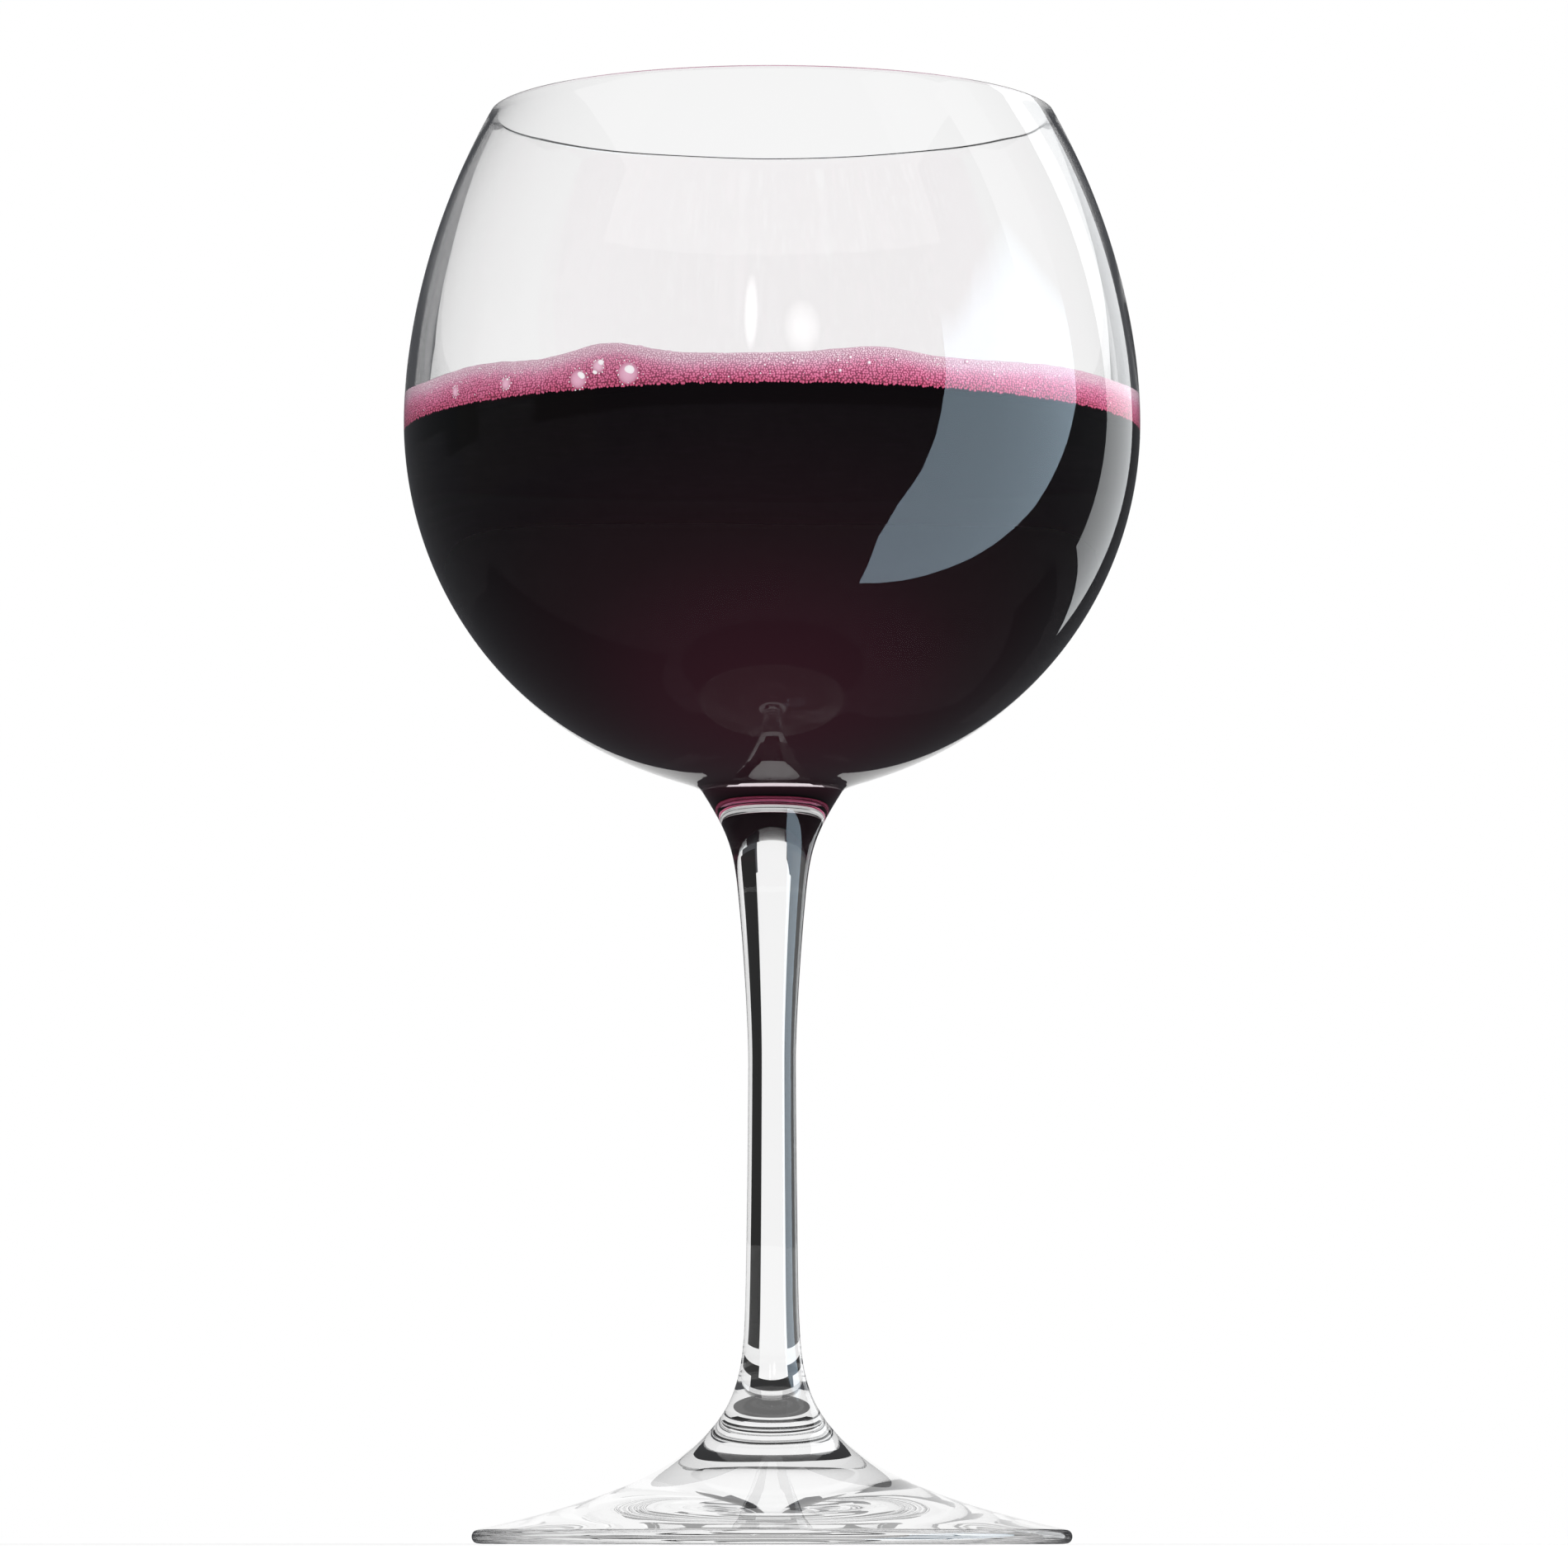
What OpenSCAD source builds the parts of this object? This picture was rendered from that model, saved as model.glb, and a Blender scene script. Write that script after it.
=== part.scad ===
// A tall balloon glass on a drawn stem, part filled with red wine under a layer of froth.
// Millimetres, +Z up. The origin is the middle of the foot, on the table.
// The glass and the wine are turned about the Z axis. The froth alone is uneven.

/* [Glass] */
// Height from the table to the top of the rim
height = 220; // [180:1:270]
// Height of the bowl, from where it meets the stem to the rim
bowl_h = 105; // [86:1:128]
// Diameter of the bowl at its widest
bowl_d = 113.3; // [92:0.1:137]
// Height of the widest place above the bottom of the bowl
bowl_wide_h = 57; // [46:0.5:70]
// Diameter of the mouth over the rim
rim_d = 86.1; // [70:0.1:90]
// Fullness of the shoulder: 2 is an ellipse, less is straighter
shoulder = 1.85; // [1.6:0.05:2.4]

/* [Walls] */
// Thickness of the rounded rim
rim_t = 1.0; // [0.8:0.05:1.6]
// Thickness of the bowl's side at its widest
side_t = 1.3; // [1:0.05:2]
// Thickness of glass under the middle of the wine
floor_t = 3.1; // [2:0.1:5]

/* [Stem] */
// Diameter of the stem at its thinnest
waist_d = 7.3; // [6:0.1:9]
// Height of the thinnest place above the table
waist_z = 74; // [50:1:86]
// Diameter that the stem grows to at the table
stem_low_d = 9.5; // [8:0.1:12]
// Diameter that the stem grows to at the bowl
stem_top_d = 13.7; // [11:0.1:17]
// Diameter of the flare where it meets the bowl
collar_d = 21.3; // [17:0.1:26]
// Length over which that flare dies away down the stem
collar_len = 8; // [6:0.1:10]
// Sharpness of the blend between stem and bowl
bowl_blend = 5.6; // [4:0.1:8]

/* [Foot] */
// Diameter of the foot
foot_d = 91.4; // [76:0.1:110]
// Thickness of the foot's rounded edge
edge_t = 2.3; // [1.8:0.1:3]
// Height in which the foot narrows to a third and a bit
flare_h = 9.4; // [7:0.1:12]
// Sharpness of the blend between foot and stem
foot_blend = 2.8; // [2:0.1:5]
// Rise of the hollow under the foot
hollow_h = 1.2; // [0.5:0.1:2]
// Width of the flat ring that the glass stands on
ring_w = 4; // [2:0.5:8]

/* [Wine and froth] */
// Depth of the wine in the middle
wine_depth = 52.6; // [40:0.1:64]
// Thickness of the froth where it is lowest at the wall
froth_wall = 4.2; // [3:0.1:6]
// Thickness of the froth in the middle of the glass
froth_middle = 3; // [2:0.1:5]
// How much taller the froth's humps are than listed
froth_swell = 1; // [0.5:0.1:1.5]

/* [Hidden] */
$fn = 180;

bowl_r = bowl_d / 2;
rim_r = rim_d / 2;
foot_r = foot_d / 2;
bottom_z = height - bowl_h;           // where the stem meets the bowl
wide_z = bottom_z + bowl_wide_h;      // the bowl's widest place
floor_z = bottom_z + floor_t;         // the lowest place inside the bowl
level_z = floor_z + wine_depth;       // the top of the wine
inner_r = bowl_r - side_t;

taper_power = 1.5;                    // how late the stem starts to thicken from its waist

// Each piece of the outline is a plain curve of height.
// A smooth maximum runs one piece into the next.
function blend(a, b, sharpness) = pow(pow(a, sharpness) + pow(b, sharpness), 1 / sharpness);

// A superellipse seen from its centre: 1 at t = 0, and 0 at t = 1
function arch(t, fullness) = pow(max(1 - pow(t, fullness), 0), 1 / fullness);
function arch_reach(rise, share, fullness) = rise / arch(share, fullness);

function stem_r(z) = z > waist_z
    ? (waist_d + (stem_top_d - waist_d) * pow((z - waist_z) / (bottom_z - waist_z), taper_power)) / 2
    : (waist_d + (stem_low_d - waist_d) * pow((waist_z - z) / waist_z, taper_power)) / 2;
function collar_r(z) = collar_d / (1 + exp((bottom_z - z) / collar_len));

// The foot falls away as an exponential, which meets the rounded edge without a corner.
edge_r = edge_t / 2;
edge_lean = atan(flare_h / foot_r);
edge_top_z = edge_r * (1 + cos(edge_lean));
edge_top_r = foot_r - edge_r * (1 - sin(edge_lean));
function flare_r(z) = edge_top_r * exp((edge_top_z - z) / flare_h);

reach = arch_reach(height - wide_z, rim_r / bowl_r, shoulder);
function bowl_outer(z) = z < wide_z
    ? bowl_r * arch(min((wide_z - z) / bowl_wide_h, 1), 2)
    : bowl_r * arch((z - wide_z) / reach, shoulder);
function outer(z) =
    blend(blend(blend(stem_r(z), flare_r(z), foot_blend), collar_r(z), bowl_blend),
          bowl_outer(z), bowl_blend);

// The lip is a half circle across the wall, which leans inwards by lip_lean.
lip_r = rim_t / 2;
probe = 0.01;
lip_lean = atan((outer(height - probe) - outer(height)) / probe);
lip_start_z = height - lip_r * (1 - sin(lip_lean));
lip_mid = [outer(lip_start_z) - lip_r * cos(lip_lean), height - lip_r];
lip_end = lip_mid - lip_r * [cos(lip_lean), sin(lip_lean)];

inner_reach = arch_reach(lip_end[1] - wide_z, lip_end[0] / inner_r, shoulder);
function inner(z) = z < wide_z
    ? inner_r * arch(min((wide_z - z) / (wide_z - floor_z), 1), 2)
    : inner_r * arch((z - wide_z) / inner_reach, shoulder);

// Heights at which the outline is taken: closer together where it turns faster
function stops(from, to, steps) = [for (i = [1 : steps]) from + (to - from) * i / steps];
function eased(from, to, steps) = [for (i = [1 : steps]) from + (to - from) * pow(i / steps, 2)];
function round_under(from, low, steps) =
    let (start = acos((wide_z - from) / (wide_z - low)))
    [for (i = [1 : steps]) wide_z - (wide_z - low) * cos(start + (90 - start) * i / steps)];

flare_end_z = edge_top_z + 3 * flare_h;
collar_start_z = bottom_z - 2 * collar_len;
collar_end_z = bottom_z + collar_len;
outer_heights = concat(
    eased(edge_top_z, flare_end_z, 26),
    stops(flare_end_z, collar_start_z, 18),
    stops(collar_start_z, collar_end_z, 36),
    round_under(collar_end_z, bottom_z, 28),
    stops(wide_z, lip_start_z, 24));

// The wall of the space inside the bowl, from its floor up to a height
inner_heights = concat(round_under(floor_z, floor_z, 44), stops(wide_z, lip_end[1], 24));
function inner_points(top) =
    [for (z = [for (z = inner_heights) if (z < top - probe) z, top]) [inner(z), z]];
function backwards(list) = [for (i = [len(list) - 1 : -1 : 0]) list[i]];

hollow_r = foot_r - edge_r - ring_w;
hollow_steps = 12;
edge_steps = 10;
lip_steps = 8;
glass_outline = concat(
    [for (i = [0 : hollow_steps])
        [hollow_r * i / hollow_steps, hollow_h * (1 - pow(i / hollow_steps, 2))]],
    [for (i = [0 : edge_steps])
        let (a = -90 + (180 - edge_lean) * i / edge_steps)
        [foot_r - edge_r + edge_r * cos(a), edge_r + edge_r * sin(a)]],
    [for (z = outer_heights) [outer(z), z]],
    [for (i = [1 : lip_steps - 1])
        let (a = lip_lean + 180 * i / lip_steps)
        lip_mid + lip_r * [cos(a), sin(a)]],
    backwards(inner_points(lip_end[1])),
    [[0, floor_z]]);

wine_outline = concat([[0, floor_z]], inner_points(level_z), [[0, level_z]]);

// Humps of froth along the wall: [direction in degrees, extra height, half width in degrees]
froth_humps = [
    [30, 0.9, 20], [75, 1.6, 15], [118, 0.7, 14], [152, 1.5, 16], [185, 1.2, 16],
    [218, 1.2, 14], [244, 2.2, 8.5], [286, 1.2, 8], [322, 0.8, 16], [355, 1.0, 16]];
sectors = 96;
wall_rows = 4;
top_rings = [0.97, 0.9, 0.8, 0.65, 0.45, 0.25];   // shares of the way out to the wall
hold_power = 4;                       // how closely the froth's climb keeps to the wall

function apart(a, b) = abs((a - b + 540) % 360 - 180);
function swell(a) = froth_swell *
    addup([for (h = froth_humps) h[1] * exp(-pow(apart(a, h[0]) / h[2], 2))]);
function addup(list, i = 0) = i < len(list) ? list[i] + addup(list, i + 1) : 0;
function froth_edge(a) = froth_wall + swell(a);
function froth_height(a, share) =
    froth_middle + (froth_edge(a) - froth_middle) * pow(share, hold_power);

function froth_point(a, r, z) = [r * cos(a), r * sin(a), z];
froth_points = concat(
    [for (k = [0 : wall_rows], j = [0 : sectors - 1])
        let (a = 360 * j / sectors, z = level_z + froth_edge(a) * k / wall_rows)
        froth_point(a, inner(z), z)],
    [for (share = top_rings, j = [0 : sectors - 1])
        let (a = 360 * j / sectors)
        froth_point(a, share * inner(level_z + froth_edge(a)), level_z + froth_height(a, share))],
    [[0, 0, level_z], [0, 0, level_z + froth_middle]]);
froth_rings = wall_rows + 1 + len(top_rings);
froth_under = froth_rings * sectors;
froth_over = froth_under + 1;
function ring_at(k, j) = k * sectors + j % sectors;
froth_faces = concat(
    [for (j = [0 : sectors - 1]) [froth_under, ring_at(0, j), ring_at(0, j + 1)]],
    [for (k = [0 : froth_rings - 2], j = [0 : sectors - 1])
        [ring_at(k, j), ring_at(k + 1, j), ring_at(k + 1, j + 1)]],
    [for (k = [0 : froth_rings - 2], j = [0 : sectors - 1])
        [ring_at(k, j), ring_at(k + 1, j + 1), ring_at(k, j + 1)]],
    [for (j = [0 : sectors - 1])
        [froth_over, ring_at(froth_rings - 1, j + 1), ring_at(froth_rings - 1, j)]]);

// Foot, stem and bowl, drawn from one gather of clear glass
module glass() {
    color([0.86, 0.9, 0.92, 0.35]) rotate_extrude() polygon(glass_outline);
}

// The wine, which fills the bowl from its floor to its level
module wine() {
    color([0.16, 0.03, 0.07]) rotate_extrude() polygon(wine_outline);
}

// Pink froth over the whole of the wine, climbing the wall in uneven humps
module froth() {
    color([0.78, 0.4, 0.55]) polyhedron(froth_points, froth_faces);
}

glass();
wine();
froth();
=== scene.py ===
# %% [markdown]
# # A glass of red wine
# A balloon glass stands on a drawn stem and a wide foot. Dark red wine fills half of its bowl,
# and a band of pink froth lies on the wine. The CAD model has these three nodes: glass, wine
# and froth. Its box is measured first, because nothing made here may grow past it.

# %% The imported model
import math
import random

import bmesh
import bpy
from mathutils import Matrix, Vector, noise


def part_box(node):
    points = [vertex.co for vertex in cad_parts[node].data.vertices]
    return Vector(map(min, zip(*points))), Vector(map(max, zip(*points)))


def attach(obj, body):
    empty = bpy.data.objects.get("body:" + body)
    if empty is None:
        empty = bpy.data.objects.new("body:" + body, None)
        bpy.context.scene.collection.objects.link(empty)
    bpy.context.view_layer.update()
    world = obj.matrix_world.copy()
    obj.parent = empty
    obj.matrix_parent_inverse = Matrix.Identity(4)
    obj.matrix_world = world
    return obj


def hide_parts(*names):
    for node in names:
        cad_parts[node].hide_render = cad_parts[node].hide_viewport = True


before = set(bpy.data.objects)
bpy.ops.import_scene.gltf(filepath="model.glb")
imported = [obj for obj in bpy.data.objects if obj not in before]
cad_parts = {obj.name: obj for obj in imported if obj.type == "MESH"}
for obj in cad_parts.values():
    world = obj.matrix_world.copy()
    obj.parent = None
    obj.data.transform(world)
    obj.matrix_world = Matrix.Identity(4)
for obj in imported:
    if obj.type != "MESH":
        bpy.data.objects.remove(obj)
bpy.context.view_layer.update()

for node in ("glass", "wine", "froth"):
    low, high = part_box(node)
    print(node, "from", round(low.z, 4), "to", round(high.z, 4), "m")

# %% [markdown]
# ## The sizes
# The glass maker draws one outline and turns it about the stem. The CAD model does the same,
# so its sizes are written here again, in millimetres. The pieces below are built in
# millimetres too, and are scaled to metres when they are finished.

# %% Sizes of the glass and of what fills it
MM = 0.001
HEIGHT = 220
BOWL_HEIGHT = 105
BOWL_RADIUS = 113.3 / 2
WIDEST_ABOVE_BOTTOM = 57
MOUTH_RADIUS = 86.1 / 2
SHOULDER = 1.85
RIM_THICKNESS = 1.0
SIDE_THICKNESS = 1.3
FLOOR_THICKNESS = 3.1
WAIST_DIAMETER = 7.3
WAIST_Z = 74
STEM_LOW_DIAMETER = 9.5
STEM_TOP_DIAMETER = 13.7
COLLAR_DIAMETER = 21.3
COLLAR_LENGTH = 8
BOWL_BLEND = 5.6
FOOT_RADIUS = 91.4 / 2
FOOT_EDGE = 2.3
FLARE_HEIGHT = 9.4
FOOT_BLEND = 2.8
HOLLOW_HEIGHT = 1.2
RING_WIDTH = 4
WINE_DEPTH = 52.6
FROTH_WALL = 4.2
FROTH_MIDDLE = 3

bottom_z = HEIGHT - BOWL_HEIGHT
widest_z = bottom_z + WIDEST_ABOVE_BOTTOM
floor_z = bottom_z + FLOOR_THICKNESS
level_z = floor_z + WINE_DEPTH
print("bowl starts at", bottom_z, "and its floor is at", floor_z, "mm; the wine ends at", level_z)

# %% [markdown]
# ## The outline
# A drawn stem has no corners, because the hot glass is pulled out of the bowl. So the
# outline is a few plain curves of height: a tapering stem, a foot that falls away, a collar
# under the bowl and the bowl itself. A smooth maximum runs each one into the next.

# %% Curves of the outside and of the inside
def smooth_maximum(a, b, sharpness):
    return (a ** sharpness + b ** sharpness) ** (1 / sharpness)


def arch(share, fullness):
    return max(1 - share ** fullness, 0) ** (1 / fullness)


def stem_radius(z):
    if z > WAIST_Z:
        share = (z - WAIST_Z) / (bottom_z - WAIST_Z)
        end = STEM_TOP_DIAMETER
    else:
        share = (WAIST_Z - z) / WAIST_Z
        end = STEM_LOW_DIAMETER
    return (WAIST_DIAMETER + (end - WAIST_DIAMETER) * share ** 1.5) / 2


edge_radius = FOOT_EDGE / 2
edge_lean = math.atan(FLARE_HEIGHT / FOOT_RADIUS)
edge_top_z = edge_radius * (1 + math.cos(edge_lean))
edge_top_radius = FOOT_RADIUS - edge_radius * (1 - math.sin(edge_lean))
shoulder_reach = (HEIGHT - widest_z) / arch(MOUTH_RADIUS / BOWL_RADIUS, SHOULDER)


def outside_radius(z):
    flare = edge_top_radius * math.exp((edge_top_z - z) / FLARE_HEIGHT)
    collar = COLLAR_DIAMETER / (1 + math.exp((bottom_z - z) / COLLAR_LENGTH))
    if z < widest_z:
        bowl = BOWL_RADIUS * arch(min((widest_z - z) / WIDEST_ABOVE_BOTTOM, 1), 2)
    else:
        bowl = BOWL_RADIUS * arch((z - widest_z) / shoulder_reach, SHOULDER)
    lower = smooth_maximum(stem_radius(z), flare, FOOT_BLEND)
    return smooth_maximum(smooth_maximum(lower, collar, BOWL_BLEND), bowl, BOWL_BLEND)


lip_radius = RIM_THICKNESS / 2
lip_lean = math.atan((outside_radius(HEIGHT - 0.01) - outside_radius(HEIGHT)) / 0.01)
lip_start_z = HEIGHT - lip_radius * (1 - math.sin(lip_lean))
lip_middle = Vector((outside_radius(lip_start_z) - lip_radius * math.cos(lip_lean), HEIGHT - lip_radius))
lip_end = lip_middle - lip_radius * Vector((math.cos(lip_lean), math.sin(lip_lean)))
inner_reach = (lip_end.y - widest_z) / arch(lip_end.x / (BOWL_RADIUS - SIDE_THICKNESS), SHOULDER)


def inside_radius(z):
    if z < widest_z:
        share = min((widest_z - z) / (widest_z - floor_z), 1)
        return (BOWL_RADIUS - SIDE_THICKNESS) * arch(share, 2)
    return (BOWL_RADIUS - SIDE_THICKNESS) * arch((z - widest_z) / inner_reach, SHOULDER)


print("the widest radius is", round(outside_radius(widest_z), 2), "mm")
print("the radius at the rim is", round(outside_radius(HEIGHT), 2), "mm")

# %% [markdown]
# ## The camera
# A long lens from well back keeps the two sides of the bowl true. The camera stands at the
# height of the foot and looks up a little, so the foot is seen edge on and the mouth opens as
# an ellipse seen from below.

# %% Camera
LENS = 187.219
CAMERA_DISTANCE = 1.2461
CAMERA_HEIGHT = 0.00116
TILT_UP = 5.273
TURN_RIGHT = 0.0841
camera_data = bpy.data.cameras.new("camera")
camera_data.sensor_width = 36
camera_data.lens = LENS
camera_data.clip_start = 0.05
camera_data.clip_end = 60
camera = bpy.data.objects.new("camera", camera_data)
bpy.context.scene.collection.objects.link(camera)
camera.location = (0, -CAMERA_DISTANCE, CAMERA_HEIGHT)
camera.rotation_euler = (math.radians(90 + TILT_UP), 0, -math.radians(TURN_RIGHT))
bpy.context.scene.camera = camera
print("a lens of", LENS, "mm at", CAMERA_DISTANCE, "m")

# %% [markdown]
# ## Materials, as short helpers
# Each finish is a Principled shader with a few values set on its own sockets. Values that are
# the same all over stay on the sockets; only what varies over a piece has nodes.

# %% Helpers for node materials
def new_material(name, **values):
    material = bpy.data.materials.new(name)
    material.use_nodes = True
    tree = material.node_tree
    shader = tree.nodes["Principled BSDF"]
    for socket, value in values.items():
        shader.inputs[socket.replace("_", " ")].default_value = value
    return material, tree, shader


def add_node(tree, kind, **values):
    node = tree.nodes.new("ShaderNode" + kind)
    for name, value in values.items():
        if name in node.inputs:
            node.inputs[name].default_value = value
        else:
            setattr(node, name, value)
    return node


def finish_piece(name, bm, material, smooth=True):
    bmesh.ops.transform(bm, matrix=Matrix.Scale(MM, 4), verts=bm.verts)
    mesh = bpy.data.meshes.new(name)
    bm.to_mesh(mesh)
    bm.free()
    for made in material if isinstance(material, list) else [material]:
        mesh.materials.append(made)
    mesh.polygons.foreach_set("use_smooth", [smooth] * len(mesh.polygons))
    piece = bpy.data.objects.new(name, mesh)
    bpy.context.scene.collection.objects.link(piece)
    triangles = sum(len(p.vertices) - 2 for p in mesh.polygons)
    print(name, "has", triangles, "triangles")
    return piece


# %% [markdown]
# ## The glass
# The whole glass is one piece: foot, stem and bowl. Its outline is laid out as a chain of
# vertices and spun once round the axis. Clear glass shows every facet in what it bends, so
# the outline has nearly 400 points and the spin has 256 steps.

# %% Outline of the glass
def steps(start, end, count):
    return [start + (end - start) * i / count for i in range(1, count + 1)]


def eased_steps(start, end, count):
    return [start + (end - start) * (i / count) ** 2 for i in range(1, count + 1)]


def round_steps(start, lowest, count):
    first = math.acos((widest_z - start) / (widest_z - lowest))
    turns = [first + (math.pi / 2 - first) * i / count for i in range(1, count + 1)]
    return [widest_z - (widest_z - lowest) * math.cos(turn) for turn in turns]


hollow_radius = FOOT_RADIUS - edge_radius - RING_WIDTH
under = [(hollow_radius * i / 20, HOLLOW_HEIGHT * (1 - (i / 20) ** 2)) for i in range(21)]
edge = []
for i in range(17):
    turn = -math.pi / 2 + (math.pi - edge_lean) * i / 16
    edge.append((FOOT_RADIUS - edge_radius + edge_radius * math.cos(turn),
                 edge_radius + edge_radius * math.sin(turn)))
heights = (eased_steps(edge_top_z, 32, 50) + steps(32, bottom_z - 16, 36)
           + steps(bottom_z - 16, bottom_z + 8, 60) + round_steps(bottom_z + 8, bottom_z, 46)
           + steps(widest_z, lip_start_z, 36))
outside = [(outside_radius(z), z) for z in heights]
lip = []
for i in range(1, 12):
    turn = lip_lean + math.pi * i / 12
    lip.append((lip_middle.x + lip_radius * math.cos(turn), lip_middle.y + lip_radius * math.sin(turn)))
inner_heights = round_steps(floor_z, floor_z, 66) + steps(widest_z, lip_end.y, 36)
inside = [(inside_radius(z), z) for z in inner_heights]
glass_outline = under + edge + outside + lip + inside[::-1] + [(0, floor_z)]
print("the outline of the glass has", len(glass_outline), "points")


# %% Spinning an outline into a closed piece
ROUND_STEPS = 256


def spin_outline(outline, count=ROUND_STEPS):
    bm = bmesh.new()
    verts = [bm.verts.new((radius, 0, z)) for radius, z in outline]
    edges = [bm.edges.new(pair) for pair in zip(verts, verts[1:])]
    bmesh.ops.spin(bm, geom=verts + edges, cent=(0, 0, 0), axis=(0, 0, 1),
                   angle=2 * math.pi, steps=count, use_merge=True, use_duplicate=False)
    bmesh.ops.remove_doubles(bm, verts=bm.verts, dist=0.0001)
    bmesh.ops.recalc_face_normals(bm, faces=bm.faces)
    return bm


# %% [markdown]
# ### Clear glass and wetted glass
# Polished crystal is a plain clear shader. Where wine touches the wall, light meets only the
# small step between two clear things, so that part of the inner wall takes the ratio of the
# two indices. Without it the dark wine would wear a second, false reflection.

# %% Material of the glass
GLASS_INDEX = 1.5
WINE_INDEX = 1.344
clear_glass, _, _ = new_material("clear glass", Base_Color=(1, 1, 1, 1), Roughness=0,
                                 IOR=GLASS_INDEX, Transmission_Weight=1)
wetted_glass, _, _ = new_material("wetted glass", Base_Color=(1, 1, 1, 1), Roughness=0,
                                  IOR=GLASS_INDEX / WINE_INDEX, Transmission_Weight=1)

print("the wetted wall bends light by", round(GLASS_INDEX / WINE_INDEX, 3))

# %% [markdown]
# ### Waviness
# A foot that is pulled and pressed by hand is never quite even. Waves of a few hundredths of
# a millimetre on the outside bend the light into swirls, and they are finer near the foot.
# The inside stays true, because the wine lies against it, and so does the rim.

# %% The glass
FROTH_CLEARANCE = 1.5
NEAR_WALL = 0.3
SMOOTH_ABOVE = HEIGHT - 8
FINE_WAVES_BELOW = 34


def on_inner_wall(spot):
    return spot.z > floor_z - 0.05 and math.hypot(spot.x, spot.y) < inside_radius(spot.z) + NEAR_WALL


def outside_wave(spot):
    wave = 0.03 * noise.noise(spot / 18)
    if spot.z < FINE_WAVES_BELOW:
        wave += 0.016 * noise.noise(spot / 7 + Vector((3, 1, 4))) + 0.003 * noise.noise(spot / 3)
    return wave


bm = spin_outline(glass_outline)
for face in bm.faces:
    middle = face.calc_center_median()
    if on_inner_wall(middle) and middle.z < level_z + FROTH_CLEARANCE:
        face.material_index = 1
bm.normal_update()
for vert in bm.verts:
    if not on_inner_wall(vert.co) and vert.co.z <= SMOOTH_ABOVE:
        vert.co = vert.co + vert.normal * outside_wave(vert.co)
glass = finish_piece("crystal_glass", bm, [clear_glass, wetted_glass])
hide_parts("glass")
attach(glass, "root")
glass.visible_diffuse = False
glass.visible_shadow = False

# %% [markdown]
# ## The wine
# Red wine is clear, and only its depth makes it nearly black. So its colour is in the volume,
# and not on the surface. The piece reaches a few thousandths of a millimetre into the wall,
# which leaves no gap, and the wetted wall does the bending of light. What little light real
# wine scatters shows as a maroon haze low in the middle. Here that haze is a painted glow: a
# very faint emission on the surface, strongest round a point low in the front of the wine.

# %% Material of the wine
red_wine, tree, shader = new_material("red wine", Base_Color=(1, 1, 1, 1), Roughness=0, IOR=1.0,
                                      Transmission_Weight=1, Emission_Strength=1)
WINE_COLOUR = (0.45, 0.1, 0.25)
WINE_DENSITY = 12000
# Painted glow: the surface emits faint maroon light round this point, low and to the front.
PAINTED_GLOW_MIDDLE = (0, -0.032, 0.123)
depth_colour = tree.nodes.new("ShaderNodeVolumeAbsorption")
depth_colour.inputs["Color"].default_value = (*WINE_COLOUR, 1)
depth_colour.inputs["Density"].default_value = WINE_DENSITY
tree.links.new(depth_colour.outputs["Volume"], tree.nodes["Material Output"].inputs["Volume"])
place = add_node(tree, "TexCoord")
from_middle = add_node(tree, "VectorMath", operation="DISTANCE")
from_middle.inputs[1].default_value = PAINTED_GLOW_MIDDLE
painted_glow = add_node(tree, "ValToRGB")
PAINTED_GLOW_TONES = ((0, (0.028, 0.0062, 0.0115)), (0.018, (0.019, 0.0045, 0.0085)), (0.032, (0.008, 0.0024, 0.004)),
        (0.048, (0.0025, 0.001, 0.0016)), (0.065, (0, 0, 0)))
for _ in range(3):
    painted_glow.color_ramp.elements.new(0.5)
for element, (distance, colour) in zip(painted_glow.color_ramp.elements, PAINTED_GLOW_TONES):
    element.position = distance
    element.color = (*colour, 1)
tree.links.new(place.outputs["Object"], from_middle.inputs[0])
tree.links.new(from_middle.outputs["Value"], painted_glow.inputs["Fac"])
tree.links.new(painted_glow.outputs["Color"], shader.inputs["Emission Color"])
print("the haze ends", PAINTED_GLOW_TONES[-1][0] * 1000, "mm from its middle")

# %% The wine
INTO_WALL = 0.005
wine_heights = [z for z in inner_heights if z < level_z - 0.3] + [level_z]
wine_outline = [(0, floor_z - INTO_WALL)]
NUDGE = 0.01
for z in wine_heights:
    widening = inside_radius(z + NUDGE) - inside_radius(max(z - NUDGE, floor_z))
    along = Vector((widening, 2 * NUDGE)).normalized()
    sunk = INTO_WALL * along.x if z < level_z else 0
    wine_outline.append((inside_radius(z) + INTO_WALL * along.y, z - sunk))
wine_outline += [(inside_radius(level_z) * share, level_z) for share in (0.9, 0.6, 0.3)]
wine_outline += [(0, level_z)]
wine = finish_piece("wine_body", spin_outline(wine_outline), red_wine)
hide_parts("wine")
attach(wine, "root")

# %% [markdown]
# ## The froth
# Froth is a raft of bubbles. It climbs the wall in uneven humps, and its lower edge is a
# ragged row of bubbles on the wine. The body is an outline spun in shares of its height, and
# each of its points is then moved to where the humps put it.

# %% Shape of the froth
HUMPS = [(30, 0.9, 20), (75, 1.6, 15), (118, 0.7, 14), (152, 1.5, 16), (185, 1.2, 16),
         (218, 1.2, 14), (244, 2.2, 8.5), (286, 1.2, 8), (322, 0.8, 16), (355, 1.0, 16)]


def froth_edge(turn):
    total = FROTH_WALL
    for middle, extra, half_width in HUMPS:
        apart = abs((math.degrees(turn) - middle + 540) % 360 - 180)
        total += extra * math.exp(-(apart / half_width) ** 2)
    return total


def froth_top(turn, share):
    return level_z + FROTH_MIDDLE + (froth_edge(turn) - FROTH_MIDDLE) * share ** 4


print("the froth is", round(max(froth_edge(math.radians(a)) for a in range(360)), 1), "mm high at most")

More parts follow.
